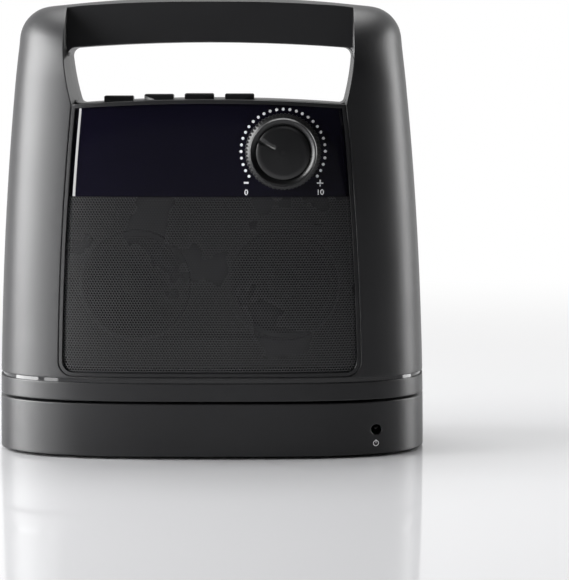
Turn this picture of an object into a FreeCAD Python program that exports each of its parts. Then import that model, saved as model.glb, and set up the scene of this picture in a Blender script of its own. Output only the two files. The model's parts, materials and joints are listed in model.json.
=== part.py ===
"""Portable radio speaker with a carry handle, standing on its charging dock.

Millimetres. The origin is the middle of the dock's footprint on the table, +Z is up,
the front faces -Y and +X is to the right as seen from the front.
"""
import FreeCAD, Part
import math
import os

V = FreeCAD.Vector
UP = V(0, 0, 1)
BACK = V(0, 1, 0)
REACH = 400.0                 # longer than anything on the object, for cutting tools
OVERLAP = 0.01                # how far solids that are fused reach into each other

# ---- outer shape ----
HEIGHT = 215.6                # table to the top of the handle
BASE_HALF_WIDTH = 102.2       # at the table
HALF_DEPTH = 54.0             # middle to the front face, and to the back at the table
SIDE_TAPER = 3.05e-4          # half-width lost per square millimetre of height
BACK_LEAN = 1.14e-3           # back face lost per square millimetre of height
CREST_Y = -9.0                # the handle's top line, in front of the middle
FRONT_DOME_Z = HEIGHT - 38.0  # where the front starts to round over
BACK_DOME_Z = HEIGHT - 31.0
CROWN_R = 650.0               # long arc along the top of the handle
SHOULDER_R = 16.0             # the two top corners, seen from the front
PLAN_POWER = 3.1              # superellipse power of the plan, 2 is an ellipse
CREST_POWER = 2.4
WAIST_Z = 60.0                # above this the widest line of the plan moves forward to the crest
PLAN_POINTS = 24
BODY_LEVELS = 20
DOME_DEGREES = (8, 16, 24, 31, 38, 44, 50, 55, 60, 64, 68, 72, 76, 80, 84)

# ---- heights of the stack ----
FOOT_H = 1.5
DOCK_TOP = 26.0
SEAT_Z = 27.4                 # top of the dock's seat, and underside of the radio
COVER_TOP = 35.8
HOUSING_Z = 37.7
WALL = 2.6
TRIM_INSET = 0.9
FIT = 0.2                     # gap between pieces that drop into each other
DOCK_WALL = 2.5
SEAT_INSET = 6.0

# ---- grip opening ----
DECK_Z = 167.7                # floor of the grip opening, at its middle
DECK_CROWN_R = 840.0
DECK_HALF_WIDTH = 63.5        # the recess is narrowest at the deck's front edge
GRIP_TOP_Z = 194.2            # underside of the handle, at its middle
GRIP_CROWN_R = 820.0
GRIP_HALF_WIDTH = 67.4        # between the arms at shoulder height
GRIP_BULGE = 0.75
GRIP_FLOOR_R = 2.3
GRIP_ROOF_R = 4.0
HANDLE_FRONT_Y = -25.0        # the handle's front face, set back from the arms
PARTING_Y = -5.0              # front and rear housings meet here

# ---- front recess ----
RECESS_Z = 38.6
RECESS_HALF_WIDTH = 70.9
RECESS_BULGE = 1.45
RECESS_CORNER_R = 7.0
WINDOW_Z = 122.7              # the window meets the grille here
PANEL_GAP = 0.2
BEZEL_W = 1.9
BEZEL_INSET = 0.2
PANEL_INSET = 1.8             # window and grille, back from the housing's face
WINDOW_T = 2.0
GRILLE_T = 0.8
LEDGE_W = 1.6
RAIL_H = 4.0
BAFFLE_FRONT_Y = -41.0
BAFFLE_T = 2.5
RETURN_T = 1.8
BAFFLE_LAP = 8.0
BAFFLE_SCREW_Z = (52.0, 100.0, 150.0)
BAFFLE_SCREW_OUT = 5.0

# ---- drivers ----
DRIVER_X = 34.5
DRIVER_Z = 81.0
DRIVER_HOLE_R = 26.5
FLANGE_R = 33.0
DRIVER_BOLT_R = 29.8
CONE_R = 22.0
CAP_R = 8.0
BASKET_DEPTH = 16.0
MAGNET_R = 15.0
MAGNET_T = 10.0

# ---- volume knob ----
KNOB_X = 34.4
KNOB_Z = 143.7
KNOB_SEAT_Y = -52.7
SKIRT_R = 17.6
SKIRT_T = 3.0
KNOB_R = 15.5
KNOB_H = 15.0
CAP_DISC_R = 12.5
DISH_DEPTH = 1.8
TEETH = 60
TOOTH_R = 0.55
POINTER_DEG = 154.0
POINTER_W = 1.4
SHAFT_R = 3.0
SHAFT_CLEAR = 0.06
POT_R = 8.5
POT_T = 10.5
BUSH_R = 4.5

# ---- buttons on the deck ----
BUTTON_W = 13.6
BUTTON_D = 8.0
BUTTON_H = 2.6
BUTTON_PITCH = 18.8
BUTTON_FIRST_X = -42.4
BUTTON_COUNT = 4
BUTTON_Y = -33.0
BUTTON_GAP = 0.3
BUTTON_TRAVEL = 1.2
BUTTON_ROUND = 0.8
FLANGE_LAP = 1.0
STEM_R = 1.5
KEYBOARD_TOP = 156.0
SWITCH_H = 4.0
SWITCH_W = 6.0
BOARD_T = 1.6

# ---- screws ----
SHANK_R = 1.5
HEAD_R = 2.8
HEAD_T = 1.8
HOLE_CLEAR = 0.05
BOSS_R = 4.2
HOUSING_SCREW_X = 80.0
HOUSING_SCREW_Z = (58.0, 108.0, 150.0)
COVER_SCREW_X = 88.0
COVER_SCREW_Y = 20.0
DOCK_SCREW_X = 60.0
DOCK_SCREW_Y = 38.0

# ---- radio's inside ----
MAIN_BOARD_Y = 12.0
MAIN_BOARD_X = 48.0
MAIN_BOARD_Z = (95.0, 148.0)
STANDOFF_X = 42.0
STANDOFF_Z = (100.0, 143.0)
STANDOFF_R = 3.0
ROD_R = 4.0
ROD_HALF_L = 40.0
ROD_Y = 7.0
ROD_Z = 154.5
SADDLE_X = 30.0
SADDLE_T = 3.0
BATTERY_HALF_W = 36.0
BATTERY_Y = (20.5, 41.0)
BATTERY_H = 35.5
BAY_HALF_W = 37.5
BAY_Z = (40.0, 82.0)
BAY_WALL = 2.0
BAY_Y = 20.0
DOOR_SCREW_Z = 79.0
JACK_X = 62.0
JACK_Z = 52.0
JACK_BORE_R = 1.75
JACK_R = 4.0
JACK_L = 14.0

# ---- dock's inside ----
BASE_T = 2.0
FOOT_X = 80.0
FOOT_Y = 30.0
FOOT_R = 7.0
FOOT_POCKET = 1.0
PEG_X = 60.0
PEG_Y = 8.0
PEG_R = 4.0
PEG_H = 2.4
PIN_X = 6.0
PIN_Y = 20.0
PIN_R = 0.9
PIN_TRAVEL = 1.5
PIN_TOP = SEAT_Z + WALL - 0.1
CONTACT_R = 4.0
DOCK_BOARD_Z = 14.4
LED_X = 78.0
LED_Z = 13.0
LED_HOLE_R = 2.5
LED_SINK = 5.5                # from the hole's inner end back to the lamp's board
DC_X = -30.0
DC_Z = 12.0
DC_BORE_R = 2.75
DC_PIN_R = 1.0
DC_R = 4.3
DC_DEPTH = 9.0
FLUSH = 0.3                   # sockets end this far below the face around them


# ---------------------------------------------------------------- shapes
def box(x0, x1, y0, y1, z0, z1):
    return Part.makeBox(x1 - x0, y1 - y0, z1 - z0, V(x0, y0, z0))


def rod_y(x, z, radius, y0, y1):
    return Part.makeCylinder(radius, y1 - y0, V(x, y0, z), BACK)


def rod_z(x, y, radius, z0, z1):
    return Part.makeCylinder(radius, z1 - z0, V(x, y, z0), UP)


def group(shapes):
    return Part.makeCompound([solid for shape in shapes for solid in shape.Solids])


def turned(profile, x, y, z):
    """A polygon of (radius, depth behind y) spun about the +Y line through x, z."""
    corners = [V(x + radius, y + depth, z) for radius, depth in profile]
    face = Part.Face(Part.makePolygon(corners + corners[:1]))
    return face.revolve(V(x, y, z), BACK, 360)


def side_x(z):
    """Half-width of the outer skin below the shoulders."""
    return BASE_HALF_WIDTH - SIDE_TAPER * z**2


def shoulder_centre():
    """Centre of the shoulder's arc, which touches the side and the crown's long arc."""
    z = HEIGHT - SHOULDER_R
    for _ in range(4):
        x = side_x(z) - SHOULDER_R
        z = HEIGHT - CROWN_R + math.sqrt((CROWN_R - SHOULDER_R) ** 2 - x**2)
    return x, z


def half_width(z, inset):
    """Half of the width at a height, for the outer skin moved in by inset."""
    centre_x, centre_z = shoulder_centre()
    crown_z = HEIGHT - CROWN_R
    tangent = (centre_z - crown_z) / (CROWN_R - SHOULDER_R)
    if z <= centre_z:
        return side_x(z) - inset
    if z <= crown_z + tangent * (CROWN_R - inset):
        return centre_x + math.sqrt((SHOULDER_R - inset) ** 2 - (z - centre_z) ** 2)
    return math.sqrt((CROWN_R - inset) ** 2 - (z - crown_z) ** 2)


def dome(z, start, inset):
    """1 below start, then a quarter circle down to 0 at the top of the skin."""
    rise = max(z - start, 0.0) / (HEIGHT - inset - start)
    return math.sqrt(max(1.0 - rise**2, 0.0))


def skin_row(z, inset):
    """Half of the plan outline at one height, from the front's middle round to the back's."""
    width = half_width(z, inset)
    front = CREST_Y - (HALF_DEPTH + CREST_Y - inset) * dome(z, FRONT_DOME_Z, inset)
    back = CREST_Y + (HALF_DEPTH - BACK_LEAN * z**2 - CREST_Y - inset) * dome(z, BACK_DOME_Z, inset)
    power = CREST_POWER + (PLAN_POWER - CREST_POWER) * dome(z, FRONT_DOME_Z, inset)
    middle = CREST_Y * min(max((z - WAIST_Z) / (FRONT_DOME_Z - WAIST_Z), 0.0), 1.0)
    row = []
    for i in range(PLAN_POINTS + 1):
        angle = math.pi * (i / PLAN_POINTS - 0.5)
        c, s = max(math.cos(angle), 0.0), math.sin(angle)
        scale = (c**power + abs(s) ** power) ** (-1 / power)
        depth = back - middle if s > 0 else middle - front
        side = 0.0 if i in (0, PLAN_POINTS) else width * c * scale
        row.append(V(side, middle + depth * s * scale, z))
    return row


def skin(inset):
    """The whole outer shape as one solid, from the dock's underside to the handle's top."""
    last = BODY_LEVELS - 1
    levels = [FOOT_H + (FRONT_DOME_Z - FOOT_H) * i / last for i in range(BODY_LEVELS)]
    rise = HEIGHT - inset - FRONT_DOME_Z
    levels += [FRONT_DOME_Z + rise * math.sin(math.radians(a)) for a in DOME_DEGREES]
    surface = Part.BSplineSurface()
    surface.interpolate([skin_row(z, inset) for z in levels])
    right = surface.toShape()
    left = right.mirror(V(0, 0, 0), V(1, 0, 0))
    faces = [right, left]
    for z in (levels[0], levels[-1]):
        flat = [e for f in (right, left) for e in f.Edges
                if abs(e.BoundBox.ZMin - z) < 1e-4 and abs(e.BoundBox.ZMax - z) < 1e-4]
        faces.append(Part.Face(Part.Wire(Part.__sortEdges__(flat))))
    shell = Part.Shell(faces)
    shell.sewShape()
    solid = Part.Solid(shell)
    if solid.Volume < 0:
        solid.reverse()
    return solid


def back_face_y(x, z):
    """Depth of the outer skin's back at a place below the waist."""
    share = abs(x) / side_x(z)
    return (HALF_DEPTH - BACK_LEAN * z**2) * (1 - share**PLAN_POWER) ** (1 / PLAN_POWER)


def slab(shape, z0, z1):
    return shape.common(box(-REACH, REACH, -REACH, REACH, z0, z1))


def crown(z_middle, radius, x):
    """Height at x of an arc across the object that is highest at its middle."""
    return z_middle - radius + math.sqrt(radius**2 - x**2)


def arc(a, b, c):
    return Part.Arc(V(a[0], 0, a[1]), V(b[0], 0, b[1]), V(c[0], 0, c[1])).toShape()


def bulged(a, b, bulge):
    """An arc from a to b that stands out sideways from its chord by bulge."""
    side = math.copysign(bulge, a[0])
    return arc(a, ((a[0] + b[0]) / 2 + side, (a[1] + b[1]) / 2), b)


def line(a, b):
    return Part.makeLine(V(a[0], 0, a[1]), V(b[0], 0, b[1]))


def prism(wire, y0, y1):
    face = Part.Face(wire)
    face.translate(V(0, y0, 0))
    return face.extrude(V(0, y1 - y0, 0))


def rounded(solid, radius, z_low, z_high):
    """Rounds the prism's corners that run along Y and lie between two heights."""
    corners = []
    for edge in solid.Edges:
        b = edge.BoundBox
        if b.YLength > 1 and b.XLength < 1e-6 and b.ZLength < 1e-6 and z_low < b.ZMin < z_high:
            corners.append(edge)
    return solid.makeFillet(radius, corners)


def deck_z(x):
    return crown(DECK_Z, DECK_CROWN_R, x)


def recess_wire(inset):
    """Outline of the front recess: the window and the grille together."""
    x0, x1 = RECESS_HALF_WIDTH, DECK_HALF_WIDTH
    top = deck_z(x1)
    wire = Part.Wire([
        line((-x0, RECESS_Z), (x0, RECESS_Z)),
        bulged((x0, RECESS_Z), (x1, top), RECESS_BULGE),
        arc((x1, top), (0, DECK_Z), (-x1, top)),
        bulged((-x1, top), (-x0, RECESS_Z), RECESS_BULGE),
    ])
    return wire.makeOffset2D(-inset, 2) if inset else wire


def recess(inset, y0, y1):
    solid = prism(recess_wire(inset), y0, y1)
    return rounded(solid, RECESS_CORNER_R - inset, 0, WINDOW_Z)


def recess_half_width(z):
    """Where the recess's side edge stands at a height."""
    share = (z - RECESS_Z) / (deck_z(DECK_HALF_WIDTH) - RECESS_Z)
    chord = RECESS_HALF_WIDTH + (DECK_HALF_WIDTH - RECESS_HALF_WIDTH) * share
    return chord + RECESS_BULGE * 4 * share * (1 - share)


def grip_sides():
    """Heights at the sides of the grip opening's floor and of its roof."""
    return deck_z(DECK_HALF_WIDTH), crown(GRIP_TOP_Z, GRIP_CROWN_R, GRIP_HALF_WIDTH)


def grip_wire(margin):
    x0, x1 = DECK_HALF_WIDTH, GRIP_HALF_WIDTH
    low, high = grip_sides()
    wire = Part.Wire([
        arc((-x0, low), (0, DECK_Z), (x0, low)),
        bulged((x0, low), (x1, high), GRIP_BULGE),
        arc((x1, high), (0, GRIP_TOP_Z), (-x1, high)),
        bulged((-x1, high), (-x0, low), GRIP_BULGE),
    ])
    return wire.makeOffset2D(margin, 2) if margin else wire


def grip(margin):
    """The grip opening, right through, grown by margin."""
    solid = prism(grip_wire(margin), -REACH / 2, REACH / 2)
    middle = sum(grip_sides()) / 2
    solid = rounded(solid, GRIP_FLOOR_R + margin, 0, middle)
    return rounded(solid, GRIP_ROOF_R + margin, middle, HEIGHT)


def handle_recess(margin):
    """What is cut away in front of the handle, between the arms."""
    front = HANDLE_FRONT_Y + margin
    x = GRIP_HALF_WIDTH + margin
    above = box(-x, x, -REACH / 2, front, grip_sides()[1] - OVERLAP, REACH)
    return prism(grip_wire(margin), -REACH / 2, front).fuse(above)


def screw_y(x, z, seat_y, length, radius=SHANK_R, head=HEAD_R):
    """A screw driven towards -Y, its head resting on seat_y."""
    shank = rod_y(x, z, radius, seat_y - length, seat_y)
    return shank.fuse(rod_y(x, z, head, seat_y, seat_y + HEAD_T)).removeSplitter()


def corners(x, y):
    return [(sx * x, sy * y) for sx in (-1, 1) for sy in (-1, 1)]


# ---------------------------------------------------------------- shared solids
OUTER = skin(0.0)
INNER = skin(WALL)
INSIDE = skin(WALL / 2)       # trims bosses and ribs so that they end inside the wall
parts = {}


# ---------------------------------------------------------------- dock
def make_dock():
    base_top = FOOT_H + BASE_T
    shell = slab(OUTER, FOOT_H, DOCK_TOP)
    shell = shell.cut(slab(skin(DOCK_WALL), 0, DOCK_TOP - DOCK_WALL))
    shell = shell.fuse(slab(skin(SEAT_INSET), DOCK_TOP - DOCK_WALL, SEAT_Z))
    for x, y in corners(DOCK_SCREW_X, DOCK_SCREW_Y):
        boss = rod_z(x, y, BOSS_R, base_top, DOCK_TOP - DOCK_WALL / 2)
        shell = shell.fuse(boss).cut(rod_z(x, y, SHANK_R + HOLE_CLEAR, 0, DOCK_TOP - DOCK_WALL))
    for side in (-1, 1):
        shell = shell.fuse(rod_z(side * PEG_X, PEG_Y, PEG_R, DOCK_TOP, SEAT_Z + PEG_H))
    board_top = DOCK_BOARD_Z + BOARD_T
    for x, y in ((DC_X, PIN_Y - 5), (PIN_X * 3, PIN_Y + 10)):
        shell = shell.fuse(rod_z(x, y, BOSS_R - 1, board_top, DOCK_TOP - DOCK_WALL / 2))
    block = (-2 * PIN_X, 2 * PIN_X, PIN_Y - PIN_X, PIN_Y + PIN_X)
    hole = (block[0] - FIT, block[1] + FIT, block[2] - FIT, block[3] + FIT)
    shell = shell.cut(box(*hole, DOCK_TOP - 2 * DOCK_WALL, REACH))
    shell = shell.cut(rod_y(LED_X, LED_Z, LED_HOLE_R, -REACH / 2, 0))
    shell = shell.cut(rod_y(DC_X, DC_Z, DC_R + FIT, 0, REACH / 2))
    parts["dock_shell"] = shell.removeSplitter()

    plate = slab(skin(DOCK_WALL + FIT), 0, base_top)
    feet = []
    for x, y in corners(FOOT_X, FOOT_Y):
        plate = plate.cut(rod_z(x, y, FOOT_R + FIT, 0, FOOT_H + FOOT_POCKET))
        feet.append(rod_z(x, y, FOOT_R, 0, FOOT_H + FOOT_POCKET))
    seat = FOOT_H + BASE_T / 2
    screws = []
    for x, y in corners(DOCK_SCREW_X, DOCK_SCREW_Y):
        plate = plate.cut(rod_z(x, y, HEAD_R + FIT, 0, seat)).cut(rod_z(x, y, SHANK_R + FIT, 0, REACH))
        head = rod_z(x, y, HEAD_R, FOOT_H + HOLE_CLEAR, seat)
        screws.append(head.fuse(rod_z(x, y, SHANK_R, seat, seat + 10)).removeSplitter())
    parts["dock_base_plate"] = plate
    parts["dock_feet"] = group(feet)
    parts["dock_screws"] = group(screws)

    pocket_floor = PIN_TOP - PIN_TRAVEL - 10
    pin_hole_floor = pocket_floor - 0.3
    carrier = box(*block, board_top, SEAT_Z - FIT)
    for side, name in ((-1, "left"), (1, "right")):
        pin = rod_z(side * PIN_X, PIN_Y, PIN_R, pocket_floor + PIN_TRAVEL, PIN_TOP - PIN_R)
        pin = pin.fuse(Part.makeSphere(PIN_R, V(side * PIN_X, PIN_Y, PIN_TOP - PIN_R)))
        parts["charge_pin_" + name] = pin.removeSplitter()
        carrier = carrier.cut(rod_z(side * PIN_X, PIN_Y, PIN_R + HOLE_CLEAR, pin_hole_floor, REACH))
    parts["charge_pin_block"] = carrier
    parts["dock_board"] = box(DC_X - 8, PIN_X * 4, PIN_Y - 12, PIN_Y + 16, DOCK_BOARD_Z, board_top)

    wall_y = back_face_y(DC_X, DC_Z) - FLUSH
    back = wall_y - DC_DEPTH - 4
    socket = rod_y(DC_X, DC_Z, DC_R, back, wall_y)
    socket = socket.fuse(box(DC_X - 7, DC_X + 7, back, wall_y - 4, base_top, DC_Z + 6))
    socket = socket.cut(rod_y(DC_X, DC_Z, DC_BORE_R, wall_y - DC_DEPTH, wall_y + 1))
    parts["dc_socket"] = socket.removeSplitter()
    parts["dc_socket_pin"] = rod_y(DC_X, DC_Z, DC_PIN_R, wall_y - DC_DEPTH, wall_y - 1)

    led_y = DOCK_WALL + LED_SINK - back_face_y(LED_X, LED_Z)
    parts["led_board"] = box(LED_X - 5, LED_X + 5, led_y, led_y + BOARD_T, base_top, LED_Z + 7)
    led = rod_y(LED_X, LED_Z, LED_HOLE_R - 0.1, led_y - 1.2, led_y)
    led = led.fuse(Part.makeSphere(LED_HOLE_R - 0.1, V(LED_X, led_y - 1.2, LED_Z)))
    led = led.common(box(-REACH, REACH, -REACH, led_y, 0, REACH))
    parts["power_led"] = led.removeSplitter()


# ---------------------------------------------------------------- radio's casing
def housing_screw_places():
    return [(side * HOUSING_SCREW_X, z) for side in (-1, 1) for z in HOUSING_SCREW_Z]


def cover_boss(x, y):
    """A post for a bottom screw, with the rib that ties it to the side wall."""
    post = rod_z(x, y, BOSS_R, SEAT_Z + WALL, HOUSING_Z + 20)
    far = math.copysign(BASE_HALF_WIDTH, x)
    rib = box(min(x, far), max(x, far), y - 1.5, y + 1.5, HOUSING_Z + 2, HOUSING_Z + 20)
    return post.fuse(rib.common(INSIDE)).cut(rod_z(x, y, SHANK_R + HOLE_CLEAR, 0, HOUSING_Z + 10))


def make_casing():
    opening, handle_cut = grip(0.0), handle_recess(0.0)
    cavity = INNER.cut(grip(WALL)).cut(handle_recess(WALL))
    body = slab(OUTER, HOUSING_Z, REACH).cut(cavity).cut(opening).cut(handle_cut)
    body = body.cut(recess(0.0, -REACH / 2, BAFFLE_FRONT_Y))
    back_box = box(-REACH, REACH, PARTING_Y, REACH, 0, REACH)

    rim = prism(recess_wire(-RETURN_T), -REACH / 2, BAFFLE_FRONT_Y)
    rim = rim.cut(recess(0.0, -REACH / 2, BAFFLE_FRONT_Y)).common(slab(INSIDE, HOUSING_Z, DECK_Z - WALL))
    front = body.cut(back_box).fuse(rim)
    rear = body.common(back_box)
    for x, z in baffle_screw_places():
        post = rod_y(x, z, BOSS_R - 1, -REACH / 2, BAFFLE_FRONT_Y).common(INSIDE)
        post = post.cut(recess(0.0, -REACH / 2, BAFFLE_FRONT_Y))
        front = front.fuse(post).cut(rod_y(x, z, 1 + HOLE_CLEAR, BAFFLE_FRONT_Y - 2.4, BAFFLE_FRONT_Y))
    seat = PARTING_Y + 3
    for x, z in housing_screw_places():
        front = front.fuse(rod_y(x, z, BOSS_R, -REACH / 2, PARTING_Y).common(INSIDE))
        front = front.cut(rod_y(x, z, SHANK_R + HOLE_CLEAR, PARTING_Y - 10, PARTING_Y))
        rear = rear.fuse(rod_y(x, z, BOSS_R, PARTING_Y, REACH / 2).common(INSIDE))
        rear = rear.cut(rod_y(x, z, HEAD_R + FIT, seat, REACH / 2))
        rear = rear.cut(rod_y(x, z, SHANK_R + FIT, PARTING_Y, seat))
    for x, y in corners(COVER_SCREW_X, COVER_SCREW_Y):
        if y < PARTING_Y:
            front = front.fuse(cover_boss(x, y))
        else:
            rear = rear.fuse(cover_boss(x, y))
    for x in keyboard_posts():
        post = rod_z(x, BUTTON_Y, BOSS_R - 1.7, KEYBOARD_TOP, deck_z(x) - WALL / 2)
        front = front.fuse(post).cut(rod_z(x, BUTTON_Y, 1 + HOLE_CLEAR, KEYBOARD_TOP, KEYBOARD_TOP + 6))
    for x in button_places():
        w, d = BUTTON_W / 2 + BUTTON_GAP, BUTTON_D / 2 + BUTTON_GAP
        slot = box(x - w, x + w, BUTTON_Y - d, BUTTON_Y + d, KEYBOARD_TOP + SWITCH_H, DECK_Z + 5)
        front = front.cut(slot)
    parts["front_housing"] = front.removeSplitter()

    for x in (-STANDOFF_X, STANDOFF_X):
        for z in STANDOFF_Z:
            rear = rear.fuse(rod_y(x, z, STANDOFF_R, MAIN_BOARD_Y + BOARD_T, REACH / 2).common(INSIDE))
            rear = rear.cut(rod_y(x, z, 1 + HOLE_CLEAR, MAIN_BOARD_Y, MAIN_BOARD_Y + 7))
    for x in (-SADDLE_X, SADDLE_X):
        saddle = box(x - SADDLE_T / 2, x + SADDLE_T / 2, ROD_Y - ROD_R - 2, REACH / 2,
                     MAIN_BOARD_Z[1] + 0.4, ROD_Z + ROD_R + 2)
        rear = rear.fuse(saddle.common(INSIDE))
    rod_room = Part.makeCylinder(ROD_R + FIT / 2, 4 * SADDLE_X, V(-2 * SADDLE_X, ROD_Y, ROD_Z), V(1, 0, 0))
    rear = rear.cut(rod_room)
    w = BAY_HALF_W + BAY_WALL
    bay = box(-w, w, BAY_Y - BAY_WALL, REACH / 2, BAY_Z[0] - BAY_WALL, BAY_Z[1] + BAY_WALL).common(INSIDE)
    rear = rear.fuse(bay).cut(box(-BAY_HALF_W, BAY_HALF_W, BAY_Y, REACH / 2, *BAY_Z))
    post = rod_y(0, DOOR_SCREW_Z, 3, BAY_Y - 1, REACH / 2).common(skin(WALL + FIT))
    rear = rear.fuse(post).cut(rod_y(0, DOOR_SCREW_Z, SHANK_R + HOLE_CLEAR, BAY_Y + 4, REACH / 2))
    rear = rear.cut(rod_y(JACK_X, JACK_Z, JACK_R + FIT, 0, REACH / 2))
    parts["rear_housing"] = rear.removeSplitter()

    parts["rear_housing_screws"] = group(screw_y(x, z, seat, 12) for x, z in housing_screw_places())

    cover = slab(OUTER, SEAT_Z, COVER_TOP).cut(slab(INNER, SEAT_Z + WALL, COVER_TOP))
    head_floor = SEAT_Z + HEAD_T - 0.4
    screws = []
    for x, y in corners(COVER_SCREW_X, COVER_SCREW_Y):
        cover = cover.cut(rod_z(x, y, HEAD_R + FIT, 0, head_floor)).cut(rod_z(x, y, SHANK_R + FIT, 0, REACH))
        head = rod_z(x, y, HEAD_R, SEAT_Z + FIT, head_floor)
        screws.append(head.fuse(rod_z(x, y, SHANK_R, head_floor, head_floor + 10)).removeSplitter())
    for side in (-1, 1):
        cover = cover.cut(rod_z(side * PEG_X, PEG_Y, PEG_R + 0.4, 0, REACH))
        cover = cover.cut(rod_z(side * PIN_X, PIN_Y, PIN_R + 1.3, 0, REACH))
    parts["bottom_cover"] = cover
    parts["bottom_cover_screws"] = group(screws)
    floor = SEAT_Z + WALL
    parts["contact_plates"] = group(
        rod_z(side * PIN_X, PIN_Y, CONTACT_R, floor, floor + 0.5) for side in (-1, 1))
    parts["trim_ring"] = slab(skin(TRIM_INSET), COVER_TOP, HOUSING_Z).cut(skin(TRIM_INSET + WALL))

    door = slab(OUTER, *BAY_Z).cut(INNER)
    door = door.common(box(-BAY_HALF_W + FIT, BAY_HALF_W - FIT, 0, REACH, BAY_Z[0] + FIT, BAY_Z[1] - FIT))
    face_y = HALF_DEPTH - BACK_LEAN * DOOR_SCREW_Z**2
    head_seat = face_y - HEAD_T + 0.3
    door = door.cut(rod_y(0, DOOR_SCREW_Z, HEAD_R + FIT, head_seat, REACH / 2))
    parts["battery_door"] = door.cut(rod_y(0, DOOR_SCREW_Z, SHANK_R + FIT, 0, REACH / 2))
    head = rod_y(0, DOOR_SCREW_Z, HEAD_R, head_seat, face_y - FIT)
    parts["battery_door_screw"] = head.fuse(rod_y(0, DOOR_SCREW_Z, SHANK_R, head_seat - 12, head_seat))


# ---------------------------------------------------------------- front
def baffle_screw_places():
    return [(side * (recess_half_width(z) + BAFFLE_SCREW_OUT), z) for side in (-1, 1) for z in BAFFLE_SCREW_Z]


def make_front():
    face, seat_face = skin(PANEL_INSET), skin(PANEL_INSET + WINDOW_T)
    outer = recess(PANEL_GAP, -REACH / 2, BAFFLE_FRONT_Y)
    lip_inner = recess(BEZEL_W, -REACH / 2, BAFFLE_FRONT_Y)
    ledge_inner = recess(BEZEL_W + LEDGE_W, -REACH / 2, BAFFLE_FRONT_Y)
    bezel = outer.cut(lip_inner).common(skin(BEZEL_INSET))
    ledge = outer.cut(ledge_inner).common(seat_face)
    rail = slab(outer, WINDOW_Z - RAIL_H / 2, WINDOW_Z + RAIL_H / 2).common(seat_face)
    bezel = bezel.fuse(ledge).fuse(rail)
    parts["front_bezel"] = bezel.removeSplitter()

    pane = recess(BEZEL_W + PANEL_GAP, -REACH / 2, BAFFLE_FRONT_Y)
    window = slab(pane, WINDOW_Z + PANEL_GAP / 2, REACH).common(face).cut(seat_face)
    parts["display_window"] = window.cut(rod_y(KNOB_X, KNOB_Z, POT_R, -REACH / 2, 0))
    sheet = slab(pane, 0, WINDOW_Z - PANEL_GAP / 2).common(face)
    hem = slab(recess(BEZEL_W + PANEL_GAP + GRILLE_T, -REACH / 2, BAFFLE_FRONT_Y), 0,
               WINDOW_Z - PANEL_GAP / 2 - GRILLE_T)
    sheet = sheet.cut(seat_face).cut(hem.common(skin(PANEL_INSET + GRILLE_T)))
    parts["speaker_grille"] = sheet

    back_y = BAFFLE_FRONT_Y + BAFFLE_T
    plate = rounded(prism(recess_wire(-BAFFLE_LAP), BAFFLE_FRONT_Y, back_y), RECESS_CORNER_R, 0, WINDOW_Z)
    plate = plate.common(slab(skin(WALL + 0.5), HOUSING_Z, deck_z(DECK_HALF_WIDTH) - WALL - 1))
    for x, z in housing_screw_places():
        plate = plate.cut(rod_y(x, z, BOSS_R + FIT, BAFFLE_FRONT_Y, back_y))
    screws = []
    for x, z in baffle_screw_places():
        plate = plate.cut(rod_y(x, z, 1 + FIT, BAFFLE_FRONT_Y, back_y))
        screws.append(screw_y(x, z, back_y, 4.5, 1.0, 2.0))
    driver_screws = []
    for side in (-1, 1):
        plate = plate.cut(rod_y(side * DRIVER_X, DRIVER_Z, DRIVER_HOLE_R, BAFFLE_FRONT_Y, back_y))
        for turn in range(4):
            a = math.radians(45 + 90 * turn)
            x = side * DRIVER_X + DRIVER_BOLT_R * math.cos(a)
            z = DRIVER_Z + DRIVER_BOLT_R * math.sin(a)
            plate = plate.cut(rod_y(x, z, 1 + HOLE_CLEAR, BAFFLE_FRONT_Y, back_y))
            driver_screws.append(screw_y(x, z, back_y + 1.5, 3.6, 1.0, 2.0))
    parts["baffle"] = plate.cut(rod_y(KNOB_X, KNOB_Z, BUSH_R + 0.1, BAFFLE_FRONT_Y, back_y))
    parts["baffle_screws"] = group(screws)
    parts["driver_screws"] = group(driver_screws)
    parts["display_module"] = box(-52, 8, BAFFLE_FRONT_Y - 4, BAFFLE_FRONT_Y, 133, 156)
    for side, name in ((-1, "left"), (1, "right")):
        make_driver("driver_" + name, side * DRIVER_X, back_y)


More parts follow.
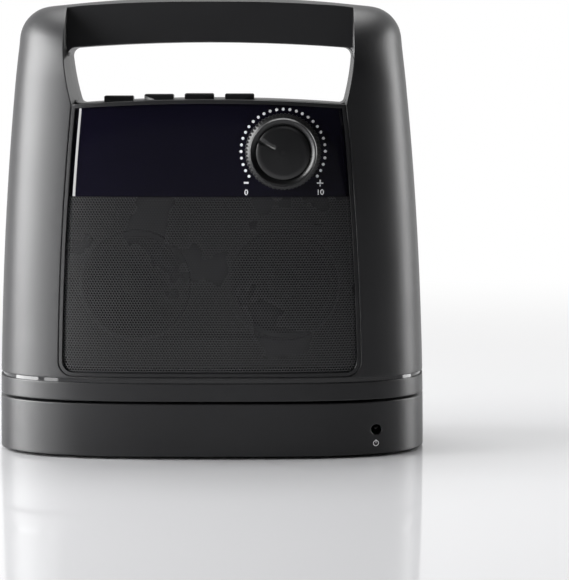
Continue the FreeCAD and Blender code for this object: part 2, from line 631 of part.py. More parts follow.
def make_driver(name, x, y):
    """A cone driver behind the baffle; depths run back from the baffle's rear face."""
    z = DRIVER_Z
    edge, neck, depth = DRIVER_HOLE_R, MAGNET_R + 1, BASKET_DEPTH
    basket = turned([(edge - 0.5, 0), (FLANGE_R, 0), (FLANGE_R, 1.5), (edge + 1.5, 1.5), (neck, depth + 1.5),
                     (CAP_R, depth + 1.5), (CAP_R, depth), (neck - 0.8, depth), (edge - 0.5, 1.5)], x, y, z)
    for turn in range(4):
        a = math.radians(45 + 90 * turn)
        bolt_x = x + DRIVER_BOLT_R * math.cos(a)
        bolt_z = z + DRIVER_BOLT_R * math.sin(a)
        basket = basket.cut(rod_y(bolt_x, bolt_z, 1.2, y, y + 2))
        basket = basket.cut(window_slot(x, y, z, 90 * turn))
    parts[name + "_basket"] = basket
    parts[name + "_magnet"] = rod_y(x, z, MAGNET_R, y + depth + 1.5, y + depth + 1.5 + MAGNET_T)
    parts[name + "_surround"] = turned([(CONE_R, 0), (CONE_R + 1.2, -1.4), (edge - 1.6, -1.4), (edge - 0.6, 0),
                                        (edge - 0.6, 0.8), (edge - 2.0, -0.6), (CONE_R + 1.6, -0.6),
                                        (CONE_R, 0.8)], x, y, z)
    parts[name + "_cone"] = turned([(CONE_R - 0.05, 0), (CONE_R - 0.05, 0.8), (CAP_R, 10.8), (CAP_R, depth + 0.8),
                                    (CAP_R - 0.5, depth + 0.8), (CAP_R - 0.5, 10.0)], x, y, z)
    dust = Part.makeSphere(CAP_R * 1.25, V(x, y + 10.4 + CAP_R * 0.75, z))
    dust = dust.cut(Part.makeSphere(CAP_R * 1.25 - 0.5, V(x, y + 10.4 + CAP_R * 0.75, z)))
    parts[name + "_dust_cap"] = dust.common(rod_y(x, z, CAP_R - 0.6, y, y + 10.2))


def window_slot(x, y, z, degrees):
    """One of the openings in a basket's side."""
    slot = box(-6, 6, 4, BASKET_DEPTH - 3, 10, FLANGE_R)
    slot.rotate(V(0, 0, 0), BACK, degrees)
    slot.translate(V(x, y, z))
    return slot


# ---------------------------------------------------------------- knob
def make_knob():
    x, y, z = KNOB_X, KNOB_SEAT_Y, KNOB_Z
    floor, bore = KNOB_H - DISH_DEPTH, KNOB_H - 3.5
    hub, hollow = SHAFT_R + 2, CAP_DISC_R + 0.5
    knob = turned([(0, -bore), (SHAFT_R + 0.02, -bore), (SHAFT_R + 0.02, -0.5), (hub, -0.5), (hub, -bore + 1),
                   (hollow, -bore + 1), (hollow, 0), (SKIRT_R, 0), (SKIRT_R, -SKIRT_T), (KNOB_R, -SKIRT_T),
                   (KNOB_R, -KNOB_H + 0.5), (KNOB_R - 0.5, -KNOB_H), (KNOB_R - 0.8, -KNOB_H),
                   (CAP_DISC_R, -floor), (0, -floor)], x, y, z)
    teeth = []
    for i in range(TEETH):
        a = 2 * math.pi * i / TEETH
        reach = SKIRT_R + TOOTH_R * 0.3
        teeth.append(rod_y(x + reach * math.cos(a), z + reach * math.sin(a), TOOTH_R, y - SKIRT_T - 1, y + 1))
    knob = knob.cut(Part.makeCompound(teeth))
    cap = turned([(0, -floor), (CAP_DISC_R - 0.1, -floor), (CAP_DISC_R - 0.1, -floor - 0.7),
                  (CAP_DISC_R - 0.6, -floor - 1.1), (0, -floor - 1.5)], x, y, z)
    groove = box(4, KNOB_R - 0.6, y - KNOB_H - 1, y - floor - 0.3, -POINTER_W / 2, POINTER_W / 2)
    groove.rotate(V(0, 0, 0), V(0, -1, 0), POINTER_DEG)
    groove.translate(V(x, 0, z))
    parts["volume_knob"] = knob
    parts["knob_cap"] = cap.cut(groove)

    back_y = BAFFLE_FRONT_Y + BAFFLE_T
    bush_front = BAFFLE_FRONT_Y - 5
    pot = rod_y(x, z, POT_R, back_y, back_y + POT_T)
    pot = pot.fuse(rod_y(x, z, BUSH_R, bush_front, back_y + 1))
    pot = pot.cut(rod_y(x, z, SHAFT_R + SHAFT_CLEAR, bush_front - 1, back_y + POT_T - 1.5))
    parts["volume_pot"] = pot.removeSplitter()
    nut = rod_y(x, z, BUSH_R + 2, BAFFLE_FRONT_Y - 2.5, BAFFLE_FRONT_Y)
    parts["pot_nut"] = nut.cut(rod_y(x, z, BUSH_R + HOLE_CLEAR, bush_front, BAFFLE_FRONT_Y))
    parts["pot_shaft"] = rod_y(x, z, SHAFT_R, y - bore + 0.3, back_y + POT_T - 2)


# ---------------------------------------------------------------- buttons
def button_places():
    return [BUTTON_FIRST_X + BUTTON_PITCH * i for i in range(BUTTON_COUNT)]


def keyboard_posts():
    xs = button_places()
    return xs[0] - BUTTON_PITCH * 0.75, xs[-1] + BUTTON_PITCH * 0.75


def make_buttons():
    switches = []
    half_w, half_d = BUTTON_W / 2, BUTTON_D / 2
    well = KEYBOARD_TOP + 1.2
    for number, x in enumerate(button_places(), 1):
        top = deck_z(x) + BUTTON_H
        edge = abs(x) + half_w + FLANGE_LAP
        flange_top = deck_z(edge) - WALL - 0.2
        cap = box(x - half_w, x + half_w, BUTTON_Y - half_d, BUTTON_Y + half_d, flange_top - 1, top)
        cap = cap.makeFillet(BUTTON_ROUND, [e for e in cap.Edges if e.BoundBox.ZMin > top - 1e-6])
        w, d = half_w + FLANGE_LAP, half_d + FLANGE_LAP
        flange = box(x - w, x + w, BUTTON_Y - d, BUTTON_Y + d, flange_top - 1.2, flange_top)
        stem = rod_z(x, BUTTON_Y, STEM_R, well + BUTTON_TRAVEL + 0.2, flange_top)
        parts["deck_button_%d" % number] = cap.fuse(flange).fuse(stem).removeSplitter()
        half = SWITCH_W / 2
        switch = box(x - half, x + half, BUTTON_Y - half, BUTTON_Y + half,
                     KEYBOARD_TOP, KEYBOARD_TOP + SWITCH_H)
        switches.append(switch.cut(rod_z(x, BUTTON_Y, STEM_R + FIT, well, REACH)))
    parts["button_switches"] = group(switches)
    x0, x1 = keyboard_posts()
    board = box(x0 - 4, x1 + 4, BUTTON_Y - 5, BUTTON_Y + 8, KEYBOARD_TOP - BOARD_T, KEYBOARD_TOP)
    screws = []
    for x in (x0, x1):
        board = board.cut(rod_z(x, BUTTON_Y, 1 + FIT, 0, REACH))
        head = rod_z(x, BUTTON_Y, 2, KEYBOARD_TOP - BOARD_T - 1.4, KEYBOARD_TOP - BOARD_T)
        screws.append(head.fuse(rod_z(x, BUTTON_Y, 1, KEYBOARD_TOP - BOARD_T, KEYBOARD_TOP + 5)))
    parts["button_board"] = board
    parts["button_board_screws"] = group(screws)


# ---------------------------------------------------------------- electronics
def make_electronics():
    y0, y1 = MAIN_BOARD_Y, MAIN_BOARD_Y + BOARD_T
    board = box(-MAIN_BOARD_X, MAIN_BOARD_X, y0, y1, *MAIN_BOARD_Z)
    screws = []
    for x in (-STANDOFF_X, STANDOFF_X):
        for z in STANDOFF_Z:
            board = board.cut(rod_y(x, z, 1 + FIT, y0, y1))
            head = rod_y(x, z, 2, y0 - 1.4, y0)
            screws.append(head.fuse(rod_y(x, z, 1, y0, y1 + 5)))
    parts["main_board"] = board
    parts["main_board_screws"] = group(screws)
    parts["receiver_module"] = box(-20, 12, y1, y1 + 3.5, 108, 132)
    rod_end = V(-ROD_HALF_L, ROD_Y, ROD_Z)
    parts["ferrite_antenna"] = Part.makeCylinder(ROD_R, 2 * ROD_HALF_L, rod_end, V(1, 0, 0))
    w = BATTERY_HALF_W
    parts["battery_pack"] = box(-w, w, *BATTERY_Y, BAY_Z[0], BAY_Z[0] + BATTERY_H)
    back = back_face_y(JACK_X, JACK_Z) - FLUSH
    jack = rod_y(JACK_X, JACK_Z, JACK_R, back - JACK_L - 2, back)
    jack = jack.fuse(box(JACK_X - 6, JACK_X + 6, back - JACK_L - 2, back - 5, JACK_Z - 6, JACK_Z + 6))
    jack = jack.cut(rod_y(JACK_X, JACK_Z, JACK_BORE_R, back - JACK_L, back + 1))
    parts["headphone_jack"] = jack.removeSplitter()


make_dock()
make_casing()
make_front()
make_knob()
make_buttons()
make_electronics()

os.makedirs("parts", exist_ok=True)
for node, shape in parts.items():
    shape.exportStep("parts/" + node + ".step")
    b = shape.BoundBox
    print("%-22s solids %d valid %s volume %.0f" % (node, len(shape.Solids), shape.isValid(), shape.Volume))
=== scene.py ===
# %% [markdown]
# A black portable radio speaker on its charging dock.
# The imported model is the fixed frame: it says where every piece is, and each piece made
# here takes its place from it. Sizes are in metres, the front faces -Y and +Z is up.

import json
import math

import bmesh
import bpy
from mathutils import Matrix, Vector


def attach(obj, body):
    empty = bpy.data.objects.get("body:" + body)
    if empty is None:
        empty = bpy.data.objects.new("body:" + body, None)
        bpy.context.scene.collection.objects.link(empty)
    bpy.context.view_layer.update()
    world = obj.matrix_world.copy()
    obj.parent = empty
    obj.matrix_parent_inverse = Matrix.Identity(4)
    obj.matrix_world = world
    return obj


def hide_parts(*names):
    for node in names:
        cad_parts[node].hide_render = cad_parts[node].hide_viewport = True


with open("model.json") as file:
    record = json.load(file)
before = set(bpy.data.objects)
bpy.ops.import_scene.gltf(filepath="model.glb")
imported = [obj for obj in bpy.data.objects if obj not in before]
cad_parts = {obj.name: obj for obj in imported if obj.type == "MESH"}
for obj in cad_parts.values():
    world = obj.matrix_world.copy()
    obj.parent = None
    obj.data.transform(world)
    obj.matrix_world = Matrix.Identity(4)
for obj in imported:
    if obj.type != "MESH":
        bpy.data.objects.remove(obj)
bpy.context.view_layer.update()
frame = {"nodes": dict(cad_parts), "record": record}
MM = 0.001

# %% [markdown]
# The camera stands a little to the right of the object's middle and almost as high as the
# handle, and looks slightly down. A long lens from over a metre away keeps the sides nearly
# parallel, as product pictures do. The frame's long side is its height, so the lens length
# is worked out from that side.

# %% Camera
CAMERA_DISTANCE = 1.15
CAMERA_X = 0.035
CAMERA_Z = 0.1852
PITCH = 5.5
LENS = 147.5

camera_data = bpy.data.cameras.new("camera")
camera_data.lens = LENS
camera_data.sensor_width = 36.0
camera_data.clip_start = 0.05
camera = bpy.data.objects.new("camera", camera_data)
camera.location = (CAMERA_X, -CAMERA_DISTANCE, CAMERA_Z)
camera.rotation_euler = (math.radians(90 - PITCH), 0, 0)
bpy.context.scene.collection.objects.link(camera)
bpy.context.scene.camera = camera
print("camera", [round(c, 3) for c in camera.location])

# %% [markdown]
# The studio is a glossy pale table that fades into white. A large soft lamp stands close on
# the left and makes the long highlight down the left arm; a narrow one in front of it
# catches the window's rim; a weaker one on the right edges the other arm; a dim one over
# the camera fills the front, and one above lights the handle. The world is white behind the
# object and dark in front of it, so the window stays black.

# %% World
bpy.context.scene.view_settings.view_transform = "Standard"


def make_world():
    world = bpy.data.worlds.new("studio")
    world.use_nodes = True
    tree = world.node_tree
    tree.nodes.clear()
    path = tree.nodes.new("ShaderNodeLightPath")
    where = tree.nodes.new("ShaderNodeTexCoord")
    split = tree.nodes.new("ShaderNodeSeparateXYZ")
    tree.links.new(where.outputs["Generated"], split.inputs[0])
    behind = tree.nodes.new("ShaderNodeMapRange")
    behind.interpolation_type = "SMOOTHSTEP"
    behind.inputs["From Min"].default_value = -0.1
    behind.inputs["From Max"].default_value = 0.35
    behind.inputs["To Min"].default_value = 0.012
    behind.inputs["To Max"].default_value = 0.8
    tree.links.new(split.outputs["Y"], behind.inputs["Value"])
    studio = tree.nodes.new("ShaderNodeBackground")
    studio.inputs["Color"].default_value = (1, 1, 1, 1)
    tree.links.new(behind.outputs["Result"], studio.inputs["Strength"])
    white = tree.nodes.new("ShaderNodeBackground")
    white.inputs["Color"].default_value = (1, 1, 1, 1)
    white.inputs["Strength"].default_value = 1.0
    mix = tree.nodes.new("ShaderNodeMixShader")
    tree.links.new(path.outputs["Is Camera Ray"], mix.inputs["Fac"])
    tree.links.new(studio.outputs[0], mix.inputs[1])
    tree.links.new(white.outputs[0], mix.inputs[2])
    out = tree.nodes.new("ShaderNodeOutputWorld")
    tree.links.new(mix.outputs[0], out.inputs["Surface"])
    bpy.context.scene.world = world


make_world()

# %% Lamps
def area_lamp(name, place, aim, size, watts, colour=(1, 1, 1)):
    data = bpy.data.lights.new(name, "AREA")
    data.shape = "RECTANGLE"
    data.size, data.size_y = size
    data.energy = watts
    data.color = colour
    lamp = bpy.data.objects.new(name, data)
    lamp.location = place
    lamp.rotation_euler = (Vector(aim) - Vector(place)).to_track_quat("-Z", "Y").to_euler()
    bpy.context.scene.collection.objects.link(lamp)
    print("lamp", name, watts, "W")
    return lamp


area_lamp("left_softbox", (-0.8, -0.12, 0.35), (0, 0, 0.1), (0.6, 0.9), 26)
area_lamp("right_softbox", (0.85, 0.2, 0.3), (0, 0, 0.1), (0.35, 0.8), 7)
area_lamp("edge_strip", (-0.9, -0.75, 0.3), (0, 0, 0.12), (0.25, 0.9), 6)
area_lamp("front_fill", (0.25, -1.5, 1.1), (0, 0, 0.1), (0.6, 0.4), 1)
area_lamp("top_softbox", (0, 0.25, 1.0), (0, 0, 0.1), (0.8, 0.4), 6)

# %% [markdown]
# Materials. Every finish is nodes only. The moulded grain is shared by all of them, so it
# is a node group with its own inputs; the shader itself stays in the material, with its
# constants set on its sockets.

# %% Shared effects
def new_group(name, inputs, outputs):
    group = bpy.data.node_groups.new(name, "ShaderNodeTree")
    for label, kind, value in inputs:
        socket = group.interface.new_socket(label, in_out="INPUT", socket_type=kind)
        if value is not None:
            socket.default_value = value
    for label, kind in outputs:
        group.interface.new_socket(label, in_out="OUTPUT", socket_type=kind)
    return group, group.nodes.new("NodeGroupInput"), group.nodes.new("NodeGroupOutput")


def make_grain_group():
    """Fine moulded grain: a bump height and a slow unevenness, both from noise on the object."""
    group, given, made = new_group(
        "moulded_grain",
        [("Scale", "NodeSocketFloat", 3000.0), ("Cloud Scale", "NodeSocketFloat", 30.0)],
        [("Height", "NodeSocketFloat"), ("Cloud", "NodeSocketFloat")],
    )
    where = group.nodes.new("ShaderNodeTexCoord")
    fine = group.nodes.new("ShaderNodeTexNoise")
    fine.inputs["Detail"].default_value = 2.0
    cloud = group.nodes.new("ShaderNodeTexNoise")
    cloud.inputs["Detail"].default_value = 3.0
    group.links.new(where.outputs["Object"], fine.inputs["Vector"])
    group.links.new(where.outputs["Object"], cloud.inputs["Vector"])
    group.links.new(given.outputs["Scale"], fine.inputs["Scale"])
    group.links.new(given.outputs["Cloud Scale"], cloud.inputs["Scale"])
    group.links.new(fine.outputs["Fac"], made.inputs["Height"])
    group.links.new(cloud.outputs["Fac"], made.inputs["Cloud"])
    return group


GRAIN = make_grain_group()


# %% Plastics
def plastic(name, colour, roughness, spread=0.04, grain=3000.0, bump=0.05,
            coat=0.0, specular=0.5, metal=0.0, edge=0.0):
    """A moulded finish: slightly uneven sheen, fine grain, edges softened by edge mm."""
    material = bpy.data.materials.new(name)
    material.use_nodes = True
    tree = material.node_tree
    shader = tree.nodes["Principled BSDF"]
    shader.inputs["Specular IOR Level"].default_value = specular
    shader.inputs["Coat Weight"].default_value = coat
    shader.inputs["Coat Roughness"].default_value = 0.03
    shader.inputs["Metallic"].default_value = metal
    effect = tree.nodes.new("ShaderNodeGroup")
    effect.node_tree = GRAIN
    effect.inputs["Scale"].default_value = grain
    tint = tree.nodes.new("ShaderNodeMix")
    tint.data_type = "RGBA"
    tint.inputs["A"].default_value = (*[c * 0.88 for c in colour], 1)
    tint.inputs["B"].default_value = (*[c * 1.12 for c in colour], 1)
    tree.links.new(effect.outputs["Cloud"], tint.inputs["Factor"])
    tree.links.new(tint.outputs["Result"], shader.inputs["Base Color"])
    sheen = tree.nodes.new("ShaderNodeMapRange")
    sheen.inputs["To Min"].default_value = roughness - spread
    sheen.inputs["To Max"].default_value = roughness + spread
    tree.links.new(effect.outputs["Cloud"], sheen.inputs["Value"])
    tree.links.new(sheen.outputs["Result"], shader.inputs["Roughness"])
    height = tree.nodes.new("ShaderNodeBump")
    height.inputs["Strength"].default_value = bump
    height.inputs["Distance"].default_value = 0.0002
    tree.links.new(effect.outputs["Height"], height.inputs["Height"])
    tree.links.new(height.outputs["Normal"], shader.inputs["Normal"])
    if edge:
        soft = tree.nodes.new("ShaderNodeBevel")
        soft.samples = 8
        soft.inputs["Radius"].default_value = edge * MM
        tree.links.new(soft.outputs["Normal"], height.inputs["Normal"])
    return material


FINISH = {
    "housing_black": plastic("housing_black", (0.007, 0.007, 0.008), 0.40, bump=0.12, edge=0.9),
    "gloss_trim": plastic("gloss_trim", (0.006, 0.006, 0.007), 0.08, 0.02, bump=0.0, coat=0.6),
    "bezel_grey": plastic("bezel_grey", (0.008, 0.008, 0.009), 0.36, bump=0.08, edge=0.4),
    "window_black": plastic("window_black", (0.0035, 0.003, 0.008), 0.05, 0.01, bump=0.0, coat=0.8),
    "grille_black": plastic("grille_black", (0.03, 0.03, 0.032), 0.28, bump=0.03, specular=0.9),
    "knob_black": plastic("knob_black", (0.005, 0.005, 0.0055), 0.32, bump=0.06, edge=0.3),
    "button_black": plastic("button_black", (0.007, 0.007, 0.008), 0.34, bump=0.06, edge=0.4),
    "inner_plastic": plastic("inner_plastic", (0.006, 0.006, 0.006), 0.55, bump=0.1),
    "foot_rubber": plastic("foot_rubber", (0.02, 0.02, 0.02), 0.8, bump=0.2),
    "screw_steel": plastic("screw_steel", (0.05, 0.05, 0.052), 0.4, bump=0.05, metal=1.0),
    "contact_brass": plastic("contact_brass", (0.75, 0.55, 0.25), 0.25, bump=0.02, metal=1.0),
    "board_green": plastic("board_green", (0.02, 0.12, 0.05), 0.4, bump=0.1),
    "lamp_dark": plastic("lamp_dark", (0.01, 0.01, 0.01), 0.15, bump=0.0),
    "display_dark": plastic("display_dark", (0.008, 0.008, 0.01), 0.25, bump=0.0),
    "basket_steel": plastic("basket_steel", (0.012, 0.012, 0.012), 0.45, bump=0.05),
    "magnet_ferrite": plastic("magnet_ferrite", (0.05, 0.05, 0.055), 0.6, bump=0.2),
    "surround_rubber": plastic("surround_rubber", (0.006, 0.006, 0.006), 0.7, bump=0.1),
    "cone_paper": plastic("cone_paper", (0.008, 0.008, 0.008), 0.85, bump=0.3),
    "print_white": plastic("print_white", (0.85, 0.85, 0.86), 0.5, bump=0.02),
    "battery_wrap": plastic("battery_wrap", (0.02, 0.05, 0.2), 0.25, bump=0.02),
}
print("finishes:", len(FINISH))

# %% [markdown]
# Most pieces already have their right shape in the frame, but as loose triangles with flat
# shading. A copy of each is merged, shaded smooth and split at its real edges, and stands
# for the piece.

# %% Smooth copies
SLOTS = {row["node"]: row["material_slot"] for row in frame["record"]["subparts"]}
BODIES = {node: body for body, nodes in frame["record"]["behaviour"]["bodies"].items() for node in nodes}
EDGE_ANGLE = math.radians(28)


def finish_piece(piece, body, slot):
    piece.data.materials.clear()
    piece.data.materials.append(FINISH[slot])
    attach(piece, body)
    return piece


def shade(mesh, angle=EDGE_ANGLE):
    mesh.shade_smooth()
    mesh.set_sharp_from_angle(angle=angle)


def add_piece(name, shape, body, slot):
    mesh = bpy.data.meshes.new(name)
    shape.to_mesh(mesh)
    shape.free()
    piece = bpy.data.objects.new(name, mesh)
    bpy.context.scene.collection.objects.link(piece)
    return finish_piece(piece, body, slot)


def smooth_copy(node):
    shape = bmesh.new()
    shape.from_mesh(frame["nodes"][node].data)
    bmesh.ops.remove_doubles(shape, verts=shape.verts, dist=0.002 * MM)
    piece = add_piece(node + "_smooth", shape, BODIES[node], SLOTS[node])
    shade(piece.data)
    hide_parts(node)
    return piece


REMADE = ("speaker_grille", "display_window")
COPIES = {node: smooth_copy(node) for node in sorted(frame["nodes"]) if node not in REMADE}
print("smooth copies:", len(COPIES))

# %% [markdown]
# The outer skin is one smooth form: a rounded plan at every height that closes over at the
# handle. The same few sizes give its true direction at any point, and the big shells take
# that direction as their shading, so the light runs over them without facets.

# %% The skin
HEIGHT = 0.2156
BASE_HALF_WIDTH = 0.1022
HALF_DEPTH = 0.054
SIDE_TAPER = 0.305
BACK_LEAN = 1.14
CREST_Y = -0.009
FRONT_DOME_Z = HEIGHT - 0.038
BACK_DOME_Z = HEIGHT - 0.031
CROWN_R = 0.65
SHOULDER_R = 0.016
WAIST_Z = 0.06


def half_width(z):
    centre_z = HEIGHT - SHOULDER_R
    for _ in range(4):
        centre_x = BASE_HALF_WIDTH - SIDE_TAPER * centre_z**2 - SHOULDER_R
        centre_z = HEIGHT - CROWN_R + math.sqrt((CROWN_R - SHOULDER_R) ** 2 - centre_x**2)
    crown_z = HEIGHT - CROWN_R
    tangent = (centre_z - crown_z) / (CROWN_R - SHOULDER_R)
    if z <= centre_z:
        return BASE_HALF_WIDTH - SIDE_TAPER * z**2
    if z <= crown_z + tangent * CROWN_R:
        return centre_x + math.sqrt(SHOULDER_R**2 - (z - centre_z) ** 2)
    return math.sqrt(max(CROWN_R**2 - (z - crown_z) ** 2, 1e-9))


def dome(z, start):
    rise = max(z - start, 0.0) / (HEIGHT - start)
    return math.sqrt(max(1.0 - rise**2, 1e-6))


def plan_at(z):
    """Half-width, middle, front depth, back depth and power of the plan at a height."""
    front = CREST_Y - (HALF_DEPTH + CREST_Y) * dome(z, FRONT_DOME_Z)
    back = CREST_Y + (HALF_DEPTH - BACK_LEAN * z**2 - CREST_Y) * dome(z, BACK_DOME_Z)
    power = 2.4 + 0.7 * dome(z, FRONT_DOME_Z)
    middle = CREST_Y * min(max((z - WAIST_Z) / (FRONT_DOME_Z - WAIST_Z), 0.0), 1.0)
    return half_width(z), middle, middle - front, back - middle, power


def reach(x, y, z):
    """1 on the skin, less inside."""
    width, middle, front, back, power = plan_at(z)
    depth = back if y > middle else front
    return (abs(x / width) ** power + abs((y - middle) / depth) ** power) ** (1 / power)


def skin_direction(place):
    x, y, z = place
    step = 0.00005
    return Vector((
        reach(x + step, y, z) - reach(x - step, y, z),
        reach(x, y + step, z) - reach(x, y - step, z),
        reach(x, y, z + step) - reach(x, y, z - step),
    )).normalized()


def front_y(x, z, inset=0.0):
    width, middle, front, back, power = plan_at(z)
    share = min(abs(x) / (width - inset), 1.0)
    return middle - (front - inset) * (1 - share**power) ** (1 / power)


def skin_shading(piece, inset=0.0):
    """Sets the shading of the faces that lie on the skin from the skin itself."""
    mesh = piece.data
    normals = [tuple(corner.vector) for corner in mesh.corner_normals]
    directions = {}
    changed = 0
    for face in mesh.polygons:
        middle = face.center
        if middle.z > 0.2125 or reach(*middle) < 0.985 - inset / 0.05:
            continue
        if face.normal.dot(skin_direction(middle)) < 0.93:
            continue
        for loop, vertex in zip(face.loop_indices, face.vertices):
            if vertex not in directions:
                directions[vertex] = tuple(skin_direction(mesh.vertices[vertex].co))
            normals[loop] = directions[vertex]
        changed += 1
    mesh.normals_split_custom_set(normals)
    print(piece.name, "faces shaded from the skin:", changed)


for node in ("front_housing", "rear_housing", "dock_shell", "bottom_cover", "battery_door"):
    skin_shading(COPIES[node])
skin_shading(COPIES["trim_ring"], 0.0009)
skin_shading(COPIES["front_bezel"], 0.0003)

# %% [markdown]
# The front panels fill the recess between the arms. Their outline narrows upwards with a
# slight outward bulge, and the bottom corners are round. The grille is a sheet of about
# seven thousand holes: one cell is made, repeated over the front, and its edge cells are
# drawn in to the outline.

# %% Front outline
RECESS_Z = 0.0386
DECK_SIDE_Z = 0.1653
WINDOW_Z = 0.1227
PANEL_INSET = 0.0018
EDGE_GAP = 0.0021
CORNER_R = 0.0049


def outline_x(z):
    share = (z - RECESS_Z) / (DECK_SIDE_Z - RECESS_Z)
    side = 0.0709 - 0.0074 * share + 0.00145 * 4 * share * (1 - share) - EDGE_GAP
    low = CORNER_R - (z - RECESS_Z - EDGE_GAP)
    if low > 0:
        side -= CORNER_R - math.sqrt(max(CORNER_R**2 - low**2, 0.0))
    return side


# %% Grille
PITCH_X = 0.00129
ROW_Z = PITCH_X * math.sqrt(3) / 2
HOLE_R = 0.00053
SHEET_T = 0.0006


def make_grille():
    """One pair of staggered cells, arrayed over the front and fitted to the outline."""
    shape = bmesh.new()
    for x, z in ((0.0, 0.0), (PITCH_X / 2, ROW_Z)):
        place = Matrix.Translation((x, 0, z)) @ Matrix.Rotation(math.radians(90), 4, "X")
        made = bmesh.ops.create_circle(
            shape, cap_ends=True, segments=6, radius=PITCH_X / math.sqrt(3), matrix=place)
        face = made["verts"][0].link_faces[0]
        width = (PITCH_X / math.sqrt(3) - HOLE_R) * math.cos(math.radians(30))
        bmesh.ops.inset_region(shape, faces=[face], thickness=width, use_boundary=True, use_even_offset=True)
        wall = bmesh.ops.extrude_face_region(shape, geom=[face])
        bmesh.ops.translate(
            shape, verts=[g for g in wall["geom"] if isinstance(g, bmesh.types.BMVert)], vec=(0, SHEET_T, 0))
        caps = [g for g in wall["geom"] if isinstance(g, bmesh.types.BMFace)]
        bmesh.ops.delete(shape, geom=list({face, *caps} & set(shape.faces)), context="FACES")
    columns = int(2 * 0.0705 / PITCH_X) + 2
    rows = int((WINDOW_Z - RECESS_Z - EDGE_GAP) / ROW_Z / 2) + 1
    cell = add_piece("grille_sheet", shape, BODIES["speaker_grille"], "grille_black")
    for step, count in (((PITCH_X, 0, 0), columns), ((0, 0, 2 * ROW_Z), rows)):
        array = cell.modifiers.new("array", "ARRAY")
        array.use_relative_offset = False
        array.use_constant_offset = True
        array.constant_offset_displace = step
        array.count = count
        array.use_merge_vertices = True
        array.merge_threshold = 0.00002
    bpy.context.view_layer.update()
    sheet = bpy.data.meshes.new_from_object(cell.evaluated_get(bpy.context.evaluated_depsgraph_get()))
    cell.modifiers.clear()
    low, high = RECESS_Z + EDGE_GAP, WINDOW_Z - 0.0001
    holes = bmesh.new()
    holes.from_mesh(sheet)
    shift = (columns - 1) * PITCH_X / 2
    for vertex in holes.verts:
        deep = vertex.co.y
        z = min(max(vertex.co.z + low, low), high)
        side = outline_x(z)
        x = min(max(vertex.co.x - shift, -side), side)
        vertex.co = (x, front_y(x, z, PANEL_INSET) + deep, z)
    bmesh.ops.remove_doubles(holes, verts=holes.verts, dist=0.00002)
    bmesh.ops.dissolve_degenerate(holes, edges=holes.edges, dist=0.00001)
    holes.to_mesh(cell.data)
    holes.free()
    bpy.data.meshes.remove(sheet)
    finish_piece(cell, BODIES["speaker_grille"], "grille_black")
    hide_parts("speaker_grille")
    print("grille cells:", columns * rows * 2, "faces:", len(cell.data.polygons))


make_grille()

# %% Window
KNOB_X = 0.0344
KNOB_Z = 0.1437
PANE_T = 0.002
CHAMFER_W = 0.0021
CHAMFER_T = 0.0008
SHAFT_HOLE_R = 0.0085


def make_window():
    """A dark pane with a chamfered rim, drilled for the knob's shaft."""
    rows, columns = 40, 60
    shape = bmesh.new()
    bmesh.ops.create_grid(shape, x_segments=columns, y_segments=rows, size=0.5)
    low, high = WINDOW_Z + 0.0001, 0.1656 - 0.0003
    for vertex in shape.verts:
        across, up = vertex.co.x + 0.5, vertex.co.y + 0.5
        rim = 0.5 / columns
        z = low + (high - low) * up
        side = outline_x(z)
        if across < rim or across > 1 - rim:
            x, back = math.copysign(side, across - 0.5), CHAMFER_T
        else:
            x, back = (across - 0.5) / (0.5 - 1 / columns) * (side - CHAMFER_W), 0.0
        top = 0.1677 - 0.84 + math.sqrt(0.84**2 - x**2) - 0.0021
        z = low + (top - low) * up
        vertex.co = (x, front_y(x, z, PANEL_INSET) + back, z)
    rim_faces = bmesh.ops.extrude_face_region(shape, geom=list(shape.faces))
    moved = [g for g in rim_faces["geom"] if isinstance(g, bmesh.types.BMVert)]
    for vertex in moved:
        vertex.co.y = front_y(vertex.co.x, vertex.co.z, PANEL_INSET) + PANE_T
    bmesh.ops.recalc_face_normals(shape, faces=shape.faces)
    pane = add_piece("window_pane", shape, BODIES["display_window"], "window_black")
    drill = bmesh.new()
    place = Matrix.Translation((KNOB_X, -0.05, KNOB_Z)) @ Matrix.Rotation(math.radians(90), 4, "X")
    bmesh.ops.create_cone(
        drill, cap_ends=True, segments=48, radius1=SHAFT_HOLE_R, radius2=SHAFT_HOLE_R, depth=0.03, matrix=place)
    mesh = bpy.data.meshes.new("drill")
    drill.to_mesh(mesh)
    drill.free()
    tool = bpy.data.objects.new("drill", mesh)
    bpy.context.scene.collection.objects.link(tool)
    cut = pane.modifiers.new("cut", "BOOLEAN")
    cut.object = tool
    cut.solver = "EXACT"
    bpy.context.view_layer.update()
    drilled = bpy.data.meshes.new_from_object(pane.evaluated_get(bpy.context.evaluated_depsgraph_get()))
    pane.modifiers.clear()
    pane.data = drilled
    bpy.data.objects.remove(tool)
    finish_piece(pane, BODIES["display_window"], "window_black")
    shade(pane.data, math.radians(20))
    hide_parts("display_window")
    print("window faces:", len(pane.data.polygons))


make_window()

# %% [markdown]
# The prints are thin raised ink: a ring of dots round the knob, minus and plus, plain
# numbers, and a plain circle with a bar under the lamp.

# %% Prints
INK_T = 0.00003
DOT_COUNT = 29
DOT_RING_R = 0.0195
DOT_R = 0.0007
LAMP_X = 0.0780
LAMP_MARK_Z = 0.0065


def print_on(name, mesh, x, z, inset, body):
    """Lays a flat shape, drawn round its own middle, on the front at x and z."""
    mesh.transform(Matrix.Translation((x, 0, z)) @ Matrix.Rotation(math.radians(90), 4, "X"))
    for vertex in mesh.vertices:
        vertex.co.y = front_y(vertex.co.x, vertex.co.z, inset) - INK_T
    piece = bpy.data.objects.new(name, mesh)
    bpy.context.scene.collection.objects.link(piece)
    return finish_piece(piece, body, "print_white")


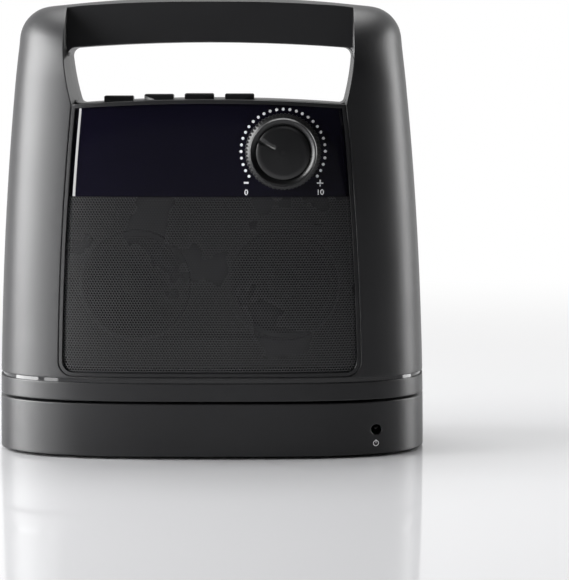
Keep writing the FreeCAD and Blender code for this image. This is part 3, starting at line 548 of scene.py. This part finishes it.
def make_dots():
    shape = bmesh.new()
    for i in range(DOT_COUNT):
        angle = math.radians(216 - 9 * i)
        place = Matrix.Translation((DOT_RING_R * math.cos(angle), DOT_RING_R * math.sin(angle), 0))
        bmesh.ops.create_circle(shape, cap_ends=True, segments=16, radius=DOT_R, matrix=place)
    mesh = bpy.data.meshes.new("dial_dots")
    shape.to_mesh(mesh)
    shape.free()
    print_on("dial_dots", mesh, KNOB_X, KNOB_Z, PANEL_INSET, "speaker")


def make_text(name, text, x, z, size):
    curve = bpy.data.curves.new(name, "FONT")
    curve.body = text
    curve.size = size
    curve.align_x = "CENTER"
    curve.align_y = "CENTER"
    curve.offset = 0.00005
    stand_in = bpy.data.objects.new(name + "_curve", curve)
    bpy.context.scene.collection.objects.link(stand_in)
    bpy.context.view_layer.update()
    mesh = bpy.data.meshes.new_from_object(stand_in)
    bpy.data.objects.remove(stand_in)
    print_on(name, mesh, x, z, PANEL_INSET, "speaker")


make_dots()
SIGN_X, SIGN_Z = 0.0171, KNOB_Z - 0.0150
NUMBER_Z = KNOB_Z - 0.0190
make_text("sign_minus", "-", KNOB_X - SIGN_X, SIGN_Z + 0.0012, 0.0085)
make_text("sign_plus", "+", KNOB_X + SIGN_X, SIGN_Z, 0.0062)
make_text("number_low", "0", KNOB_X - SIGN_X, NUMBER_Z, 0.0036)
make_text("number_high", "10", KNOB_X + SIGN_X, NUMBER_Z, 0.0036)


def make_lamp_mark():
    """A plain circle with a bar, under the lamp hole."""
    shape = bmesh.new()
    made = bmesh.ops.create_circle(shape, cap_ends=True, segments=24, radius=0.0014)
    face = made["verts"][0].link_faces[0]
    bmesh.ops.inset_region(shape, faces=[face], thickness=0.00035, use_boundary=True, use_even_offset=True)
    bmesh.ops.delete(shape, geom=[face], context="FACES_ONLY")
    bar = Matrix.Translation((0, 0.0009, 0)) @ Matrix.Diagonal((0.00018, 0.0008, 1, 1))
    bmesh.ops.create_grid(shape, x_segments=1, y_segments=1, size=1.0, matrix=bar)
    mesh = bpy.data.meshes.new("lamp_mark")
    shape.to_mesh(mesh)
    shape.free()
    print_on("lamp_mark", mesh, LAMP_X, LAMP_MARK_Z, 0.0, "dock")


make_lamp_mark()
print("prints made")

# %% [markdown]
# The table is one large sheet just under the feet. It is a pale gloss that mirrors the
# radio faintly, and the far part melts into the white world.

# %% Table
def make_table():
    shape = bmesh.new()
    bmesh.ops.create_circle(shape, cap_ends=True, segments=96, radius=6.0)
    mesh = bpy.data.meshes.new("table")
    shape.to_mesh(mesh)
    shape.free()
    table = bpy.data.objects.new("table", mesh)
    bpy.context.scene.collection.objects.link(table)
    material = bpy.data.materials.new("table_gloss")
    material.use_nodes = True
    tree = material.node_tree
    shader = tree.nodes["Principled BSDF"]
    shader.inputs["Base Color"].default_value = (0.5, 0.5, 0.51, 1)
    shader.inputs["Roughness"].default_value = 0.06
    where = tree.nodes.new("ShaderNodeTexCoord")
    split = tree.nodes.new("ShaderNodeSeparateXYZ")
    tree.links.new(where.outputs["Object"], split.inputs[0])
    fade = tree.nodes.new("ShaderNodeMapRange")
    fade.interpolation_type = "SMOOTHSTEP"
    fade.inputs["From Min"].default_value = 0.0
    fade.inputs["From Max"].default_value = 0.9
    tree.links.new(split.outputs["Y"], fade.inputs["Value"])
    glow = tree.nodes.new("ShaderNodeEmission")
    melt = tree.nodes.new("ShaderNodeMixShader")
    tree.links.new(fade.outputs["Result"], melt.inputs["Fac"])
    tree.links.new(shader.outputs[0], melt.inputs[1])
    tree.links.new(glow.outputs[0], melt.inputs[2])
    tree.links.new(melt.outputs[0], tree.nodes["Material Output"].inputs["Surface"])
    mesh.materials.append(material)
    return table


make_table()
